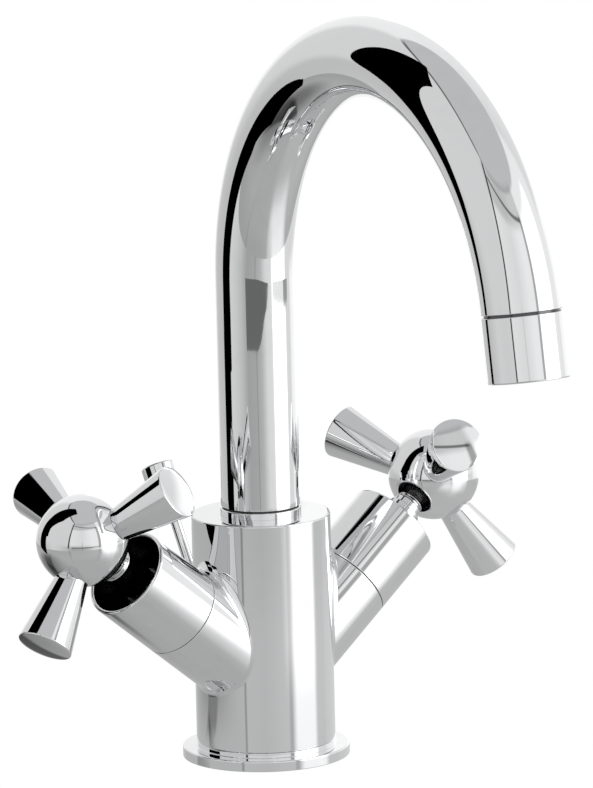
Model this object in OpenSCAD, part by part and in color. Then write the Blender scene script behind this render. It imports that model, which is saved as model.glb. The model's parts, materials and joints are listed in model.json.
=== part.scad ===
// Deck-mounted basin mixer: swivel swan-neck spout, two quarter-turn ball handles
// with three conical spokes each, and a pop-up waste lift rod.
// Millimetres. The origin is the centre of the flange's underside, on the deck.
// +Z is up, the spout leads towards -Y, hot is on -X and cold on +X.

/* [Base] */
// Radius of the chrome flange that meets the deck
flange_r = 29.5; // [28.5:0.5:32]
// Thickness of the flange at its rim
flange_t = 3.8; // [3.4:0.2:5]
// Height of the raised step between flange and body
step_h = 1.8; // [1.2:0.2:2.4]
// Radius of the hole through the flange
flange_bore_r = 20; // [19.5:0.5:20.5]
// Thickness of the deck gasket, sunk flush into the flange
gasket_t = 1.5; // [1:0.1:1.8]

/* [Body] */
// Radius of the upright body
body_r = 24.5; // [24:0.5:26]
// Height of the body's top face
body_top = 87; // [86:0.5:90]
// Height of the spout socket's floor
socket_floor = 58; // [57:0.5:59]
// Radius of the spout socket
socket_r = 12.05; // [12.03:0.01:12.08]
// Height of the collar under the riser
collar_h = 2.4; // [2:0.1:3]
// Outer radius of the collar
collar_r = 14.3; // [14:0.1:15]

/* [Branches] */
// Rise of each branch above the horizontal, in degrees
branch_rise = 38; // [37:0.5:39]
// Height where both branch axes cross the body's axis
branch_z = 27.3; // [27:0.1:27.8]
// Radius of the branches and of the shrouds
branch_r = 16.3; // [15.8:0.1:17]
// Distance from the body's axis to the seam under the shroud
seam_w = 47.85; // [47.6:0.05:48.2]
// Length of the shroud
shroud_len = 29; // [28:0.5:29.5]
// Wall of the shroud at its mouth
shroud_wall = 1.5; // [1.2:0.1:2]

/* [Spout] */
// Outer radius of the spout tube
tube_r = 14; // [13.8:0.1:14.2]
// Wall of the spout tube
tube_wall = 1.5; // [1.4:0.1:1.6]
// Height where the straight riser ends and the arch begins
spring_z = 171.5; // [160:0.5:190]
// Radius of the arch along the tube's middle
arch_r = 89; // [80:1:100]
// Angle that the arch sweeps, in degrees
arch_sweep = 170.5; // [165:0.5:175]
// Swivel of the spout at rest, in degrees, negative towards the hot side
spout_swivel = -8; // [-20:1:20]
// Swivel either way from straight ahead, in degrees
spout_travel = 60; // [45:5:70]

/* [Aerator] */
// Radius of the aerator housing
aerator_r = 14.1; // [13.9:0.1:14.4]
// Length of the aerator housing, groove included
aerator_len = 23.3; // [22:0.1:26]
// Height of the groove above the housing
groove_h = 0.9; // [0.6:0.1:1.2]

/* [Handles] */
// Distance from the body's axis to the ball's centre, along the branch
ball_w = 100.25; // [100:0.25:102]
// Radius of the handle's ball
ball_r = 16.2; // [16:0.1:16.8]
// Distance from the handle's axis to a spoke's end face
spoke_reach = 41.7; // [38:0.5:46]
// Radius of a spoke where it seats in the ball
spoke_root_r = 5.8; // [5.4:0.1:6]
// Radius of a spoke at its outer end
spoke_tip_r = 9.8; // [9:0.1:10.5]
// Distance that the spokes sit below the ball's centre
spoke_drop = 2; // [1:0.1:2.4]
// Direction of the first hot spoke round the handle's axis, in degrees
hot_turn = 70; // [0:1:119]
// Direction of the first cold spoke round the handle's axis, in degrees
cold_turn = 114; // [0:1:119]

/* [Lift rod] */
// Lean of the lift rod away from the vertical, in degrees
rod_lean = 27; // [26:0.5:28]
// Distance behind the body's axis where the rod meets the deck
rod_foot_y = 10; // [9.5:0.1:10.5]
// Radius of the lift rod
rod_r = 2; // [1.9:0.05:2]
// Distance along the rod from the deck to the knob's top
knob_top = 107; // [104:1:112]
// Radius of the knob
knob_r = 6.2; // [5.5:0.1:7]
// Length of the knob
knob_len = 16; // [12:1:20]

/* [Fixing kit] */
// Radius of each fixing stud
stud_r = 4; // [3:0.5:4]
// Distance of each stud from the middle plane
stud_x = 11; // [10.8:0.1:11.2]
// Distance of the studs behind the body's axis
stud_y = 6; // [5.8:0.1:6.2]
// Thickness of the deck that the kit clamps
deck_t = 25; // [12:1:30]

/* [Hidden] */
$fn = 96;

HOT = -1;
COLD = 1;
chrome = "lightgray";
raw_brass = "goldenrod";
black_rubber = "dimgray";
edge = 0.4;            // small chamfer on turned edges
slack = 0.05;          // radial clearance of a running fit

// Base and body
base_top = flange_t + step_h;
boss_bottom = 0.8;
inlet_r = 4.5;
inlet_x = 9;
inlet_y = -6;
inlet_depth = 12;
channel_r = 3.5;
channel_top = 38;

// Valve pocket in a branch, distances along the branch from the body's axis
seat_w = 24;
port_w = 9;
port_r = 4.5;
pocket_r = 10.5;
pocket_clear_w = 38;
seal_seat_r = 12.3;
seal_seat_depth = 1.4;

// Spout socket
bush_r = 13.6;
bush_len = 10;
stop_z = 73;
stop_screw_r = 2.5;
stop_tip_r = 1.2;
collar_top = body_top + collar_h;
tube_bottom = collar_top + 0.5;
spigot_r = socket_r - slack;
spigot_bottom = socket_floor + 2;
spigot_bore_r = 8.5;
stop_groove_r = spigot_r - 1.2;
stop_groove_h = 3;
stop_groove_half = spout_travel + 7;
tube_bore_r = tube_r - tube_wall;

// Outlet, distances down from the end of the tube
outlet_thread_r = 11;
outlet_bush_len = 10;
bush_sweep = outlet_bush_len / (PI * arch_r) * 180;
neck_len = 7;
cartridge_r = 11.5;

// Valve, distances along the branch from the body's axis
valve_bottom = 25;
cavity_r = 8;
spindle_r = 4.5;
disc_r = 7.8;
disc_t = 3;
fixed_disc_w = 27;
moving_disc_w = fixed_disc_w + disc_t + 0.03;
foot_w = moving_disc_w + disc_t;
shoulder_w = seam_w + 0.45;
shoulder_r = 12;
hex_w = 55;
neck_w = 62;
valve_top = 68;
hub_bottom = 70.2;
spline_top = 92;

// Handle
hub_neck_r = 6.25;
hub_groove_r = 5.2;
hub_groove_w = ball_w - 17.65;
spoke_w = ball_w - spoke_drop;
spoke_seat = 14.9;
handle_screw_w = 88.5;
handle_screw_turn = 60;

// Lift rod, distances along the rod from the deck
rod_bottom = -50;
rod_end_len = 20;
rod_end_r = rod_r - 0.4;
rod_bush_r = 3.4;
rod_bush_top = 13;

// A disc or ring turned about Z: outer radius, inner radius, from z0 to z1, chamfer c
module ring(r, bore, z0, z1, c = 0) {
    difference() {
        translate([0, 0, z0])
            rotate_extrude()
                polygon([[0, 0], [r - c, 0], [r, c], [r, z1 - z0 - c], [r - c, z1 - z0], [0, z1 - z0]]);
        translate([0, 0, z0 - 1])
            cylinder(r = bore, h = z1 - z0 + 2);
    }
}

// A rubber ring about Z: radius of its middle circle, radius of its section, height
module o_ring(middle_r, section_r, z) {
    translate([0, 0, z])
        rotate_extrude()
            translate([middle_r, 0])
                circle(r = section_r, $fn = 48);
}

// A slice of a disc about Z, from angle a0 to a1, for valve ports and groove ends
module wedge(r0, r1, a0, a1, z0, z1) {
    translate([0, 0, z0])
        rotate([0, 0, a0])
            rotate_extrude(angle = a1 - a0)
                translate([r0, 0])
                    square([r1 - r0, z1 - z0]);
}

// A shaft or hole with 20 straight teeth
module spline(r, z0, z1) {
    teeth = 20;
    translate([0, 0, z0])
        linear_extrude(height = z1 - z0)
            polygon([for (i = [0 : 2 * teeth - 1])
                let (a = i * 180 / teeth, q = i % 2 == 0 ? r : r - 0.35)
                [q * cos(a), q * sin(a)]]);
}

// Puts its children on a branch: local Z runs outwards along the branch
module on_branch(side) {
    translate([0, 0, branch_z])
        rotate([0, side * (90 - branch_rise), 0])
            children();
}

// Puts its children on the lift rod: local Z runs up along the rod
module on_rod() {
    translate([0, rod_foot_y, 0])
        rotate([-rod_lean, 0, 0])
            children();
}

// Swivels its children with the spout
module on_spout() {
    rotate([0, 0, spout_swivel])
        children();
}

// Puts its children on the outlet: local Z runs down and out of the tube's end
module on_outlet() {
    on_spout()
        translate([0, -arch_r * (1 - cos(arch_sweep)), spring_z + arch_r * sin(arch_sweep)])
            rotate([arch_sweep, 0, 0])
                children();
}

// ---- Body -------------------------------------------------------------------------------

module mixer_body() {
    color(chrome)
        difference() {
            union() {
                ring(body_r, 0, base_top, body_top, edge);
                ring(flange_bore_r - 0.1, 0, boss_bottom, base_top + 1);
                for (side = [HOT, COLD])
                    on_branch(side)
                        ring(branch_r, 0, 0, seam_w, 0.25);
            }
            translate([0, 0, socket_floor])
                cylinder(r = socket_r, h = 60);
            translate([0, 0, body_top - bush_len])
                cylinder(r = bush_r, h = 60);
            for (side = [HOT, COLD])
                branch_cuts(side);
            for (side = [HOT, COLD])
                inlet_cuts(side);
            translate([0, 0, stop_z])
                rotate([-90, 0, 0])
                    cylinder(r = stop_screw_r, h = 60);
            on_rod() {
                cylinder(r = rod_r + 0.6, h = 60);
                translate([0, 0, -10])
                    cylinder(r = rod_bush_r, h = 10 + rod_bush_top + 2.2);
            }
        }
}

// The valve pocket, its inlet port and the passage up to the spout socket
module branch_cuts(side) {
    on_branch(side) {
        translate([0, 0, seat_w])
            cylinder(r = pocket_r, h = 60);
        translate([0, 0, port_w])
            cylinder(r = port_r, h = seat_w);
        translate([0, 0, seam_w - seal_seat_depth])
            cylinder(r = seal_seat_r, h = 20);
    }
    translate([side * 2, 0, socket_floor + 1])
        rotate([0, side * 130, 0])
            cylinder(r = 3, h = 19);
}

// The threaded inlet, its channel and the stud hole, all drilled from below
module inlet_cuts(side) {
    translate([side * inlet_x, inlet_y, -1]) {
        cylinder(r = inlet_r, h = 1 + boss_bottom + inlet_depth);
        cylinder(r = channel_r, h = 1 + channel_top);
    }
    translate([side * stud_x, stud_y, -1])
        cylinder(r = stud_r, h = 14);
}

module base_flange() {
    color(chrome)
        difference() {
            union() {
                ring(flange_r, 0, 0, flange_t, edge);
                ring(body_r, 0, 0.5, base_top - 0.05, 0.25);
            }
            translate([0, 0, -1])
                cylinder(r = flange_bore_r, h = 20);
            ring(27.5, 22.5, -1, gasket_t);
        }
}

module base_gasket() {
    color(black_rubber)
        ring(27.5, 22.5, 0, gasket_t);
}

module spout_collar() {
    color(chrome)
        ring(collar_r, spigot_r + 0.3, body_top, collar_top, edge);
}

module spout_slip_washer() {
    color(black_rubber)
        ring(tube_r - 0.5, spigot_r + 0.3, collar_top, tube_bottom - 0.05);
}

module spout_bush() {
    color("whitesmoke")
        ring(bush_r, socket_r, body_top - bush_len, body_top);
}

// Headless screw in the back of the body; its tip runs in the spigot's groove
module spout_grub_screw() {
    tip_reach = stop_groove_r + 0.3;
    color("silver")
        difference() {
            translate([0, 0, stop_z])
                rotate([-90, 0, 0]) {
                    translate([0, 0, spigot_r + 1])
                        cylinder(r = stop_screw_r, h = body_r - spigot_r - 1.5);
                    translate([0, 0, tip_reach])
                        cylinder(r = stop_tip_r, h = 5);
                }
            translate([0, body_r - 3, stop_z])
                rotate([-90, 0, 0])
                    cylinder(r = 1.45, h = 10, $fn = 6);
        }
}

// ---- Spout ------------------------------------------------------------------------------

// The tube: a straight riser and an arch, each a turned ring section
module spout_tube() {
    color(chrome)
        on_spout() {
            ring(tube_r, tube_bore_r, tube_bottom, spring_z);
            translate([0, -arch_r, spring_z])
                rotate([90, 0, 90])
                    rotate_extrude(angle = arch_sweep)
                        translate([arch_r, 0])
                            difference() {
                                circle(r = tube_r);
                                circle(r = tube_bore_r);
                            }
        }
}

// Brass foot of the spout with two seal grooves and a part-round stop groove
module spout_spigot() {
    color(raw_brass)
        on_spout()
            difference() {
                union() {
                    ring(spigot_r, spigot_bore_r, spigot_bottom, tube_bottom, 0.3);
                    ring(tube_bore_r, spigot_bore_r, tube_bottom, tube_bottom + 12);
                }
                for (z = seal_heights())
                    ring(spigot_r + 1, 9.5, z - 1.5, z + 1.5);
                wedge(stop_groove_r, spigot_r + 1, 90 - stop_groove_half,
                    90 + stop_groove_half, stop_z - stop_groove_h / 2, stop_z + stop_groove_h / 2);
            }
}

function seal_heights() = [spigot_bottom + 3.5, spigot_bottom + 8.5];

module spout_o_rings() {
    color(black_rubber)
        on_spout()
            for (z = seal_heights())
                o_ring(10.78, 1.25, z);
}

// Brass ring that follows the tube's bend outside and has a straight thread inside
module outlet_bush() {
    color(raw_brass)
        difference() {
            on_spout()
                translate([0, -arch_r, spring_z])
                    rotate([90, 0, 90])
                        rotate([0, 0, arch_sweep - bush_sweep])
                            rotate_extrude(angle = bush_sweep)
                                translate([arch_r, 0])
                                    circle(r = tube_bore_r);
            on_outlet()
                translate([0, 0, -outlet_bush_len - 5])
                    cylinder(r = outlet_thread_r, h = outlet_bush_len + 10);
        }
}

module aerator_housing() {
    color(chrome)
        on_outlet()
            difference() {
                union() {
                    ring(outlet_thread_r, 0, -neck_len, 1);
                    ring(aerator_r - 1, 0, 0, groove_h + 1);
                    ring(aerator_r, 0, groove_h, aerator_len, edge);
                }
                translate([0, 0, -neck_len - 1])
                    cylinder(r = 8.5, h = 60);
                translate([0, 0, 7])
                    cylinder(r = cartridge_r, h = 60);
                translate([0, 0, aerator_len - 2])
                    cylinder(r = cartridge_r + 0.8, h = 10);
            }
}

module aerator_washer() {
    color(black_rubber)
        on_outlet()
            ring(outlet_thread_r - 0.1, 8, -neck_len - 1.8, -neck_len);
}

// Round screen: a rim with crossed bars
module aerator_screen() {
    pitch = 3;
    color("silver")
        on_outlet() {
            ring(cartridge_r - 0.1, 9.5, 7, 7.6);
            intersection() {
                ring(10, 0, 7, 7.6);
                for (i = [-3 : 3], turn = [0, 90])
                    rotate([0, 0, turn])
                        translate([-12, i * pitch - 0.3, 7])
                            cube([24, 0.6, 0.6]);
            }
        }
}

// Plastic insert with a field of round jets
module aerator_cartridge() {
    jet_r = 1.35;
    pitch = 3.5;
    color("whitesmoke")
        on_outlet()
            difference() {
                ring(cartridge_r - 0.05, 0, 7.7, aerator_len - 2.6, 0.3);
                translate([0, 0, 7])
                    cylinder(r = 9.5, h = 9);
                for (q = [-2 : 2], s = [-2 : 2])
                    if (abs(q + s) <= 2)
                        translate([pitch * (q + s / 2), pitch * s * sqrt(3) / 2, 7])
                            cylinder(r = jet_r, h = 30, $fn = 24);
            }
}

// ---- Valves, one set for each branch ----------------------------------------------------

module shroud(side) {
    floor_w = hex_w + 0.5;
    color(chrome)
        on_branch(side)
            difference() {
                ring(branch_r, 0, seam_w + 0.1, seam_w + shroud_len, 0.35);
                translate([0, 0, seam_w - 1])
                    cylinder(r = shoulder_r + 0.03, h = 60);
                translate([0, 0, floor_w])
                    cylinder(r = branch_r - shroud_wall, h = 60);
            }
}

// Brass valve body: cavity for the discs, thread, shoulder, hexagon and neck
module headwork(side) {
    color(raw_brass)
        on_branch(side)
            difference() {
                union() {
                    ring(9.4, 0, valve_bottom, pocket_clear_w + 1);
                    ring(pocket_r - 0.02, 0, pocket_clear_w, seam_w - seal_seat_depth, 0.3);
                    ring(10.2, 0, seam_w - seal_seat_depth - 1, shoulder_w + 1);
                    ring(shoulder_r, 0, shoulder_w, hex_w, 0.3);
                    translate([0, 0, hex_w])
                        cylinder(r = 10.9, h = neck_w - hex_w, $fn = 6);
                    ring(7.2, 0, neck_w - 1, valve_top, 0.4);
                }
                translate([0, 0, valve_bottom - 1])
                    cylinder(r = cavity_r, h = pocket_clear_w - valve_bottom + 1);
                cylinder(r = spindle_r + slack, h = 100);
                for (turn = [0, 90])
                    rotate([0, 0, turn])
                        translate([-15, -3, foot_w])
                            cube([30, 6, 4]);
            }
}

module headwork_seal(side) {
    color(black_rubber)
        on_branch(side)
            o_ring(11.25, 0.9, shoulder_w - 0.92);
}

module seat_washer(side) {
    color(black_rubber)
        on_branch(side)
            ring(cavity_r - 0.05, 5.2, seat_w, fixed_disc_w);
}

// Ceramic disc with two opposite ports, turned by port_turn
module disc(w, port_turn) {
    difference() {
        ring(disc_r, 0, w, w + disc_t);
        for (turn = [port_turn, port_turn + 180])
            wedge(2.6, 6.4, turn - 33, turn + 33, w - 1, w + disc_t + 1);
    }
}

module fixed_disc(side) {
    color("ivory")
        on_branch(side)
            disc(fixed_disc_w, 0);
}

module moving_disc(side) {
    color("ivory")
        on_branch(side)
            difference() {
                disc(moving_disc_w, 90);
                translate([-5.1, -1.6, foot_w - 1.2])
                    cube([10.2, 3.2, 2]);
            }
}

// Spindle: foot with a tab that drives the moving disc, shaft and splined end
module spindle(side) {
    color(raw_brass)
        on_branch(side)
            difference() {
                union() {
                    ring(disc_r - 0.1, 0, foot_w, pocket_clear_w - 1.5);
                    translate([-5, -1.5, foot_w - 1.1])
                        cube([10, 3, 2]);
                    ring(spindle_r, 0, foot_w + 1, hub_bottom - 0.2, 0.3);
                    spline(4, hub_bottom - 1, spline_top);
                }
                for (turn = [90, 270])
                    wedge(2.6, 9, turn - 33, turn + 33, foot_w - 2, foot_w + 2);
                for (w = spindle_seal_places())
                    ring(spindle_r + 1, 2.85, w - 1, w + 1);
                ring(spindle_r + 1, 3.6, valve_top + 0.15, valve_top + 1.05);
            }
}

function spindle_seal_places() = [44, 50];

module spindle_seals(side) {
    color(black_rubber)
        on_branch(side)
            for (w = spindle_seal_places())
                o_ring(3.7, 0.83, w);
}

module circlip(side) {
    color("silver")
        on_branch(side)
            difference() {
                ring(6, 3.62, valve_top + 0.15, valve_top + 1.05);
                translate([0, -2.2, valve_top - 1])
                    cube([20, 4.4, 4]);
            }
}

// ---- Handles ----------------------------------------------------------------------------

// Ball and neck, with the splined bore, three spoke sockets and the screw's hole
module handle_hub(side, first_turn) {
    color(chrome)
        on_branch(side)
            difference() {
                union() {
                    translate([0, 0, ball_w])
                        sphere(r = ball_r);
                    ring(hub_groove_r, 0, hub_bottom + 1, ball_w);
                    ring(hub_neck_r, 0, hub_bottom, hub_groove_w, 0.3);
                }
                spline(4.05, hub_bottom - 1, spline_top + 0.2);
                for (i = [0 : 2])
                    spoke_place(first_turn, i) {
                        translate([0, 0, spoke_seat])
                            cylinder(r = spoke_root_r + 0.35, h = 10);
                        translate([0, 0, 8])
                            cylinder(r = 3, h = 10);
                    }
                rotate([0, 0, handle_screw_turn])
                    translate([0, 0, handle_screw_w])
                        rotate([0, 90, 0])
                            cylinder(r = 2.5, h = 30);
            }
}

// Turns local Z to point out along spoke i
module spoke_place(first_turn, i) {
    rotate([0, 0, first_turn + 120 * i])
        translate([0, 0, spoke_w])
            rotate([0, 90, 0])
                children();
}

// Conical spoke with a threaded shank
module spoke(side, first_turn, i) {
    chamfer = 0.5;
    color(chrome)
        on_branch(side)
            spoke_place(first_turn, i)
                rotate_extrude()
                    polygon([[0, 8.2], [3, 8.2], [3, spoke_seat], [spoke_root_r, spoke_seat],
                        [spoke_tip_r, spoke_reach - chamfer], [spoke_tip_r - chamfer, spoke_reach],
                        [0, spoke_reach]]);
}

module handle_screw(side) {
    color("silver")
        on_branch(side)
            rotate([0, 0, handle_screw_turn])
                translate([0, 0, handle_screw_w])
                    rotate([0, 90, 0])
                        difference() {
                            translate([0, 0, 4.1])
                                cylinder(r = 2.5, h = 6);
                            translate([0, 0, 7.6])
                                cylinder(r = 1.45, h = 10, $fn = 6);
                        }
}

// ---- Lift rod ---------------------------------------------------------------------------

// The rod, with a slimmer ground end that the waste linkage clamps
module lift_rod() {
    color(chrome)
        on_rod() {
            ring(rod_end_r, 0, rod_bottom, rod_bottom + rod_end_len + 1, 0.3);
            ring(rod_r, 0, rod_bottom + rod_end_len, knob_top - 5, 0.3);
        }
}

module lift_knob() {
    color(chrome)
        on_rod()
            difference() {
                ring(knob_r, 0, knob_top - knob_len, knob_top, 0.6);
                translate([0, 0, knob_top - knob_len - 1])
                    cylinder(r = rod_r, h = knob_len - 4);
            }
}

module rod_bush() {
    color("whitesmoke")
        on_rod()
            ring(rod_bush_r, rod_r + slack, 2.5, rod_bush_top);
}

module rod_o_ring() {
    color(black_rubber)
        on_rod()
            o_ring(rod_r + 0.72, 0.66, rod_bush_top + 0.7);
}

// ---- Fixing kit under the deck ----------------------------------------------------------

module fixing_studs() {
    color("silver")
        for (side = [HOT, COLD])
            translate([side * stud_x, stud_y, 0])
                ring(stud_r, 0, -deck_t - 25, 12.5, 0.5);
}

// A plate with an open slot for the hoses and the rod, and a hole for each stud
module horseshoe(r, z0, z1) {
    slot_half = 14.5;
    slot_end = -0.5;
    corner_r = 5;
    difference() {
        ring(r, 0, z0, z1);
        translate([-slot_half, -60, z0 - 1])
            cube([2 * slot_half, 60 + slot_end - corner_r, z1 - z0 + 2]);
        translate([-slot_half + corner_r, -20, z0 - 1])
            cube([2 * (slot_half - corner_r), 20 + slot_end, z1 - z0 + 2]);
        for (side = [HOT, COLD]) {
            translate([side * (slot_half - corner_r), slot_end - corner_r, z0 - 1])
                cylinder(r = corner_r, h = z1 - z0 + 2);
            translate([side * stud_x, stud_y, z0 - 1])
                cylinder(r = stud_r + 0.3, h = z1 - z0 + 2);
        }
    }
}

module horseshoe_gasket() {
    color(black_rubber)
        horseshoe(27, -deck_t - 3, -deck_t);
}

module horseshoe_washer() {
    color("silver")
        horseshoe(26, -deck_t - 5.5, -deck_t - 3);
}

module fixing_nuts() {
    nut_r = 7.5;
    nut_h = 6.5;
    color(raw_brass)
        for (side = [HOT, COLD])
            translate([side * stud_x, stud_y, -deck_t - 5.5 - nut_h])
                difference() {
                    cylinder(r = nut_r, h = nut_h, $fn = 6);
                    translate([0, 0, -1])
                        cylinder(r = stud_r, h = nut_h + 2);
                }
}

mixer_body();
base_flange();
base_gasket();
spout_collar();
spout_slip_washer();
spout_bush();
spout_grub_screw();
spout_tube();
spout_spigot();
spout_o_rings();
outlet_bush();
aerator_housing();
aerator_washer();
aerator_screen();
aerator_cartridge();
shroud(HOT);  // hot_shroud
headwork(HOT);  // hot_headwork
headwork_seal(HOT);  // hot_headwork_seal
seat_washer(HOT);  // hot_seat_washer
fixed_disc(HOT);  // hot_fixed_disc
moving_disc(HOT);  // hot_moving_disc
spindle(HOT);  // hot_spindle
spindle_seals(HOT);  // hot_spindle_seals
circlip(HOT);  // hot_circlip
handle_hub(HOT, hot_turn);  // hot_handle_hub
handle_screw(HOT);  // hot_handle_screw
spoke(HOT, hot_turn, 0);  // hot_spoke_1
spoke(HOT, hot_turn, 1);  // hot_spoke_2
spoke(HOT, hot_turn, 2);  // hot_spoke_3
shroud(COLD);  // cold_shroud
headwork(COLD);  // cold_headwork
headwork_seal(COLD);  // cold_headwork_seal
seat_washer(COLD);  // cold_seat_washer
fixed_disc(COLD);  // cold_fixed_disc
moving_disc(COLD);  // cold_moving_disc
spindle(COLD);  // cold_spindle
spindle_seals(COLD);  // cold_spindle_seals
circlip(COLD);  // cold_circlip
handle_hub(COLD, cold_turn);  // cold_handle_hub
handle_screw(COLD);  // cold_handle_screw
spoke(COLD, cold_turn, 0);  // cold_spoke_1
spoke(COLD, cold_turn, 1);  // cold_spoke_2
spoke(COLD, cold_turn, 2);  // cold_spoke_3
lift_rod();
lift_knob();
rod_bush();
rod_o_ring();
fixing_studs();
horseshoe_gasket();
horseshoe_washer();
fixing_nuts();
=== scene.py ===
# %% [markdown]
# # A chrome basin mixer
# The real tap is cast and turned brass, polished and then plated with bright chrome. Plated
# metal has no colour or pattern of its own: all that the eye gets is its outline and what it
# mirrors. So this lesson spends its effort on two things, surfaces whose curvature is exact,
# and a small light studio for them to mirror.
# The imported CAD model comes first. It gives every place and size, and it never moves.

import json
import math

import bpy
import numpy as np
from mathutils import Matrix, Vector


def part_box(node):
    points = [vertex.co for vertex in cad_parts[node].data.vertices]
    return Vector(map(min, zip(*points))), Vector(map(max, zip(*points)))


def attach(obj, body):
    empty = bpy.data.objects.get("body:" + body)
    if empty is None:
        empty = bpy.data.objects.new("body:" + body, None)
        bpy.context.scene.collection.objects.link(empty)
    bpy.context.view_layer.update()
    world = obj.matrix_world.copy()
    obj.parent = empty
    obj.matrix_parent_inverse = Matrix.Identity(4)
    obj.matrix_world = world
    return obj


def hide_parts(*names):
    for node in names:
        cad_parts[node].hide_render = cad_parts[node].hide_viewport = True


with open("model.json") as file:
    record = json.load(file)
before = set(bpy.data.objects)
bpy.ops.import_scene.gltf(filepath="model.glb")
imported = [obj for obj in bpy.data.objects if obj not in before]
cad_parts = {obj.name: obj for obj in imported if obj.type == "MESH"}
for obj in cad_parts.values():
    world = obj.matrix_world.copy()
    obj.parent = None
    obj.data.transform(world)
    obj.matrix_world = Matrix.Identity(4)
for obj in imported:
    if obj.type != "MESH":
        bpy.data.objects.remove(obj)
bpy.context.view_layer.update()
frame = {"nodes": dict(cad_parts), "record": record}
record = frame["record"]

# %% [markdown]
# ## Axes
# A tap is an assembly of turned parts, so nearly every piece is round about some axis: the
# body's, a branch's, the lift rod's, the spout's. The joints and mounts of the record already
# say where those axes are. Each one becomes a small function that carries points from the
# piece's own frame, where Z is the turning axis, into the shared frame. All lengths are
# millimetres until the last moment, when a mesh is made.

# %% Axes of the body, branches, rod and spout
MM = 0.001
HOT = -1
COLD = 1
SIDE_NAME = {HOT: "hot", COLD: "cold"}
joints = {joint["name"]: joint for joint in record["behaviour"]["joints"]}
mounts = {mount["name"]: mount for mount in record["mounts"]}


def placed(origin, z_axis, y_axis=(0.0, 1.0, 0.0)):
    """Carries local points p to origin + x X + y Y + z Z, with X = Y cross Z."""
    z = np.array(z_axis, float) / np.linalg.norm(z_axis)
    x = np.cross(y_axis, z)
    x /= np.linalg.norm(x)
    basis = np.stack([x, np.cross(z, x), z])

    def carry(points):
        return np.asarray(points, float) @ basis + np.asarray(origin, float)

    carry.basis = basis
    carry.origin = np.asarray(origin, float)
    return carry


UPWARD = np.array([0.0, 0.0, 1.0])
BALL_W = 100.25  # the ball's centre along its branch's axis
ROD_END_LENGTH = 40  # from the rod's mount up to the deck plane, along the rod
upright = placed((0, 0, 0), UPWARD)
branch = {}
for side in (HOT, COLD):
    turn_joint = joints[SIDE_NAME[side] + "_handle_turn"]
    axis = np.array(turn_joint["axis"])
    ball_centre = np.array(turn_joint["pos_m"]) / MM
    branch[side] = placed(ball_centre - BALL_W * axis, axis)
    print(SIDE_NAME[side], "branch starts at", branch[side].origin.round(2))

rod_axis = np.array(joints["lift_rod_slide"]["axis"])
rod_foot = np.array(mounts["lift_rod_end"]["pos_m"]) / MM + ROD_END_LENGTH * rod_axis
rod = placed(rod_foot, rod_axis, (0, rod_axis[2], -rod_axis[1]))

outlet_tip = np.array(mounts["water_outlet"]["pos_m"]) / MM
outlet_down = np.array(mounts["water_outlet"]["axis"])
AERATOR_LEN = 23.3
reach_way = np.array([outlet_tip[0], outlet_tip[1], 0.0])
reach_way /= np.linalg.norm(reach_way)
spout_side = np.array([-reach_way[1], reach_way[0], 0.0])
outlet = placed(outlet_tip - AERATOR_LEN * outlet_down, outlet_down, np.cross(outlet_down, spout_side))
print("outlet starts at", outlet.origin.round(2))

# %% [markdown]
# ## Turned profiles
# A lathe part is a profile carried once round its axis. Real edges are never sharp: polishing
# leaves a small radius, and that radius is what catches the light as a thin bright line. A
# Bevel modifier could add it, but it spreads the normals over the flats next to it, which
# bends a mirror image. Here each corner of the profile becomes a true arc, with one extra
# point just before and after it, so the flats stay optically flat.

# %% Profiles with rounded corners


def rounded(corners, steps=5, guard=0.04):
    """Corners are (radius, height, fillet). A corner with a fillet f becomes an arc that
    leaves each side at f * tan(half the turn), in equal angles, between two guard points."""
    points = []
    count = len(corners)
    for i, (r, z, fillet) in enumerate(corners):
        here = np.array([r, z], float)
        if fillet <= 0 or i in (0, count - 1):
            points.append(here)
            continue
        back = np.array(corners[i - 1][:2]) - here
        ahead = np.array(corners[i + 1][:2]) - here
        back /= np.linalg.norm(back)
        ahead /= np.linalg.norm(ahead)
        half = 0.5 * math.acos(np.clip(back @ ahead, -1, 1))
        leave = fillet / math.tan(half)
        centre = here + (back + ahead) / np.linalg.norm(back + ahead) * fillet / math.sin(half)
        start = here + back * leave - centre
        end = here + ahead * leave - centre
        sweep = math.pi - 2 * half
        t = np.linspace(0, 1, steps + 1)[:, None]
        arc = (np.sin((1 - t) * sweep) * start + np.sin(t * sweep) * end) / math.sin(sweep)
        points.append(here + back * (leave + guard))
        points.extend(centre + arc)
        points.append(here + ahead * (leave + guard))
    return np.array(points)


def arc_points(centre, radius, first, last, steps):
    """Points on a circle about centre, in equal angles from first to last, in degrees."""
    a = np.radians(np.linspace(first, last, steps + 1))[:, None]
    return np.array(centre) + radius * np.hstack([np.cos(a), np.sin(a)])


# %% [markdown]
# ## From arrays to a mesh
# One function makes every mesh. It takes points in millimetres and faces, checks the signed
# volume so that the faces look outwards, and marks edges sharp where the surface really
# turns. Everything else is shaded smooth.

# %% Mesh making
SMOOTH_BELOW = 32.0


def signed_volume(points, quads):
    """Six times the volume is the sum of a . (b x c) over the triangles of the faces."""
    a, b, c, d = (points[quads[:, k]] for k in range(4))
    one = np.einsum("ij,ij->i", a, np.cross(b, c)).sum()
    two = np.einsum("ij,ij->i", a, np.cross(c, d)).sum()
    return (one + two) / 6


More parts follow.
